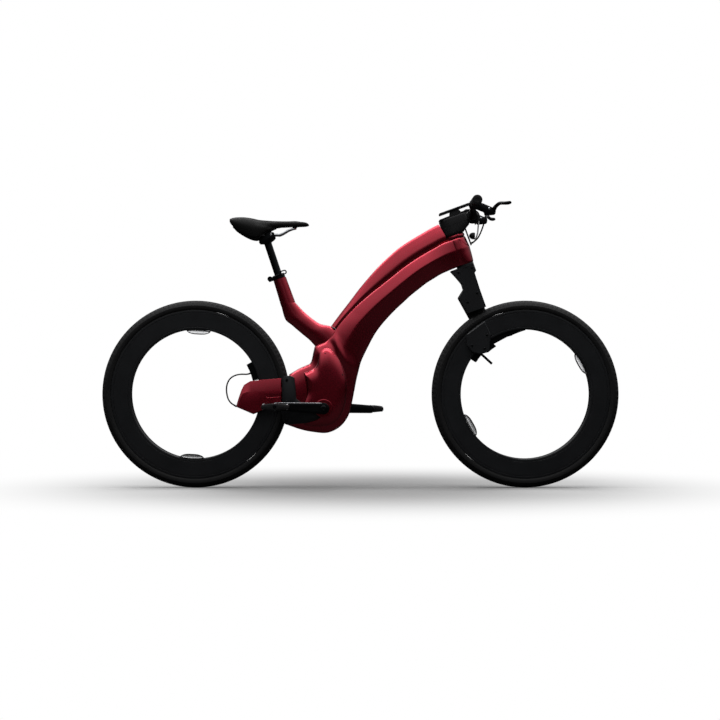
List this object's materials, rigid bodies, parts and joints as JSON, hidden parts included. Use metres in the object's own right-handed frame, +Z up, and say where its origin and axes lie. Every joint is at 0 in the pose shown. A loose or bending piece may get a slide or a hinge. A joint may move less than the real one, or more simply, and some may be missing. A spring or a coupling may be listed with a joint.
{
  "type": "hubless electric bicycle",
  "caption": "Electric bicycle with hubless ring wheels, an arched frame, a single-sided fork and arm, cranks, pedals, saddle and cockpit.",
  "frame": {"origin": "rider's seat point, on top of the saddle over the seat clamp, on the bicycle's middle plane", "axes": "+X forward, +Y to the rider's left, +Z up"},
  "size_m": [1.8773, 0.678, 1.0357],
  "materials": {
    "frame_paint": "deep crimson metallic with gloss clear coat",
    "black_paint": "satin black",
    "dark_aluminium": "black anodised",
    "bright_aluminium": "satin bare metal",
    "black_plastic": "moulded matte",
    "hose": "smooth extruded",
    "tyre": "black rubber with fine tread",
    "grip_rubber": "ribbed soft rubber",
    "saddle_skin": "black artificial leather",
    "screen": "gloss black cover",
    "reflector": "clear prismatic lens over white"
  },
  "bodies": {
    "frame": {"main_frame": "frame_paint", "top_rail": "frame_paint", "drive_cover_right": "frame_paint", "drive_cover_left": "frame_paint", "tail_cover": "frame_paint", "motor_block": "dark_aluminium", "rear_arm": "black_paint", "rear_arm_right": "black_paint", "rear_bracket": "dark_aluminium", "rear_carrier_ring": "dark_aluminium", "rear_caliper": "dark_aluminium", "rear_brake_hose": "hose", "seatpost": "dark_aluminium", "seat_clamp": "dark_aluminium", "quick_release_lever": "dark_aluminium", "saddle_pad": "saddle_skin", "saddle_base": "black_plastic", "saddle_rails": "bright_aluminium"},
    "steering": {"fork_crown": "black_paint", "fork_leg": "black_paint", "front_carrier_ring": "dark_aluminium", "front_shoe": "dark_aluminium", "front_boot": "black_paint", "front_caliper": "dark_aluminium", "console": "black_plastic", "handlebar": "dark_aluminium", "grip_right": "grip_rubber", "grip_left": "grip_rubber", "brake_lever_right": "dark_aluminium", "brake_lever_left": "dark_aluminium", "brake_hose_right": "hose", "brake_hose_left": "hose", "display_dock": "black_plastic", "display_panel": "screen", "headlamp": "black_plastic"},
    "front_wheel": {"front_tyre": "tyre", "front_rim": "black_paint", "front_reflector_a": "reflector", "front_reflector_b": "reflector"},
    "rear_wheel": {"rear_tyre": "tyre", "rear_rim": "black_paint", "rear_reflector_a": "reflector", "rear_reflector_b": "reflector"},
    "crank": {"crank_spindle": "dark_aluminium", "crank_arm_right": "dark_aluminium", "crank_arm_left": "dark_aluminium"},
    "right_pedal": {"pedal_right": "black_plastic"},
    "left_pedal": {"pedal_left": "black_plastic"}
  },
  "joints": [
    {"name": "steer", "type": "hinge", "parent": "frame", "child": "steering", "pos_m": [0.7535, 0, -0.169], "axis": [-0.342, 0, 0.9397], "range_deg": [-45, 45]},
    {"name": "front_wheel_spin", "type": "hinge", "parent": "steering", "child": "front_wheel", "pos_m": [0.97229, 0, -0.64], "axis": [0, 1, 0], "continuous": true},
    {"name": "rear_wheel_spin", "type": "hinge", "parent": "frame", "child": "rear_wheel", "pos_m": [-0.225, 0, -0.64], "axis": [0, 1, 0], "continuous": true},
    {"name": "crank_spin", "type": "hinge", "parent": "frame", "child": "crank", "pos_m": [0.241, 0, -0.69], "axis": [0, 1, 0], "continuous": true},
    {"name": "right_pedal_spin", "type": "hinge", "parent": "crank", "child": "right_pedal", "pos_m": [0.07116, 0, -0.68258], "axis": [0, 1, 0], "continuous": true},
    {"name": "left_pedal_spin", "type": "hinge", "parent": "crank", "child": "left_pedal", "pos_m": [0.41084, 0, -0.69742], "axis": [0, 1, 0], "continuous": true}
  ]
}
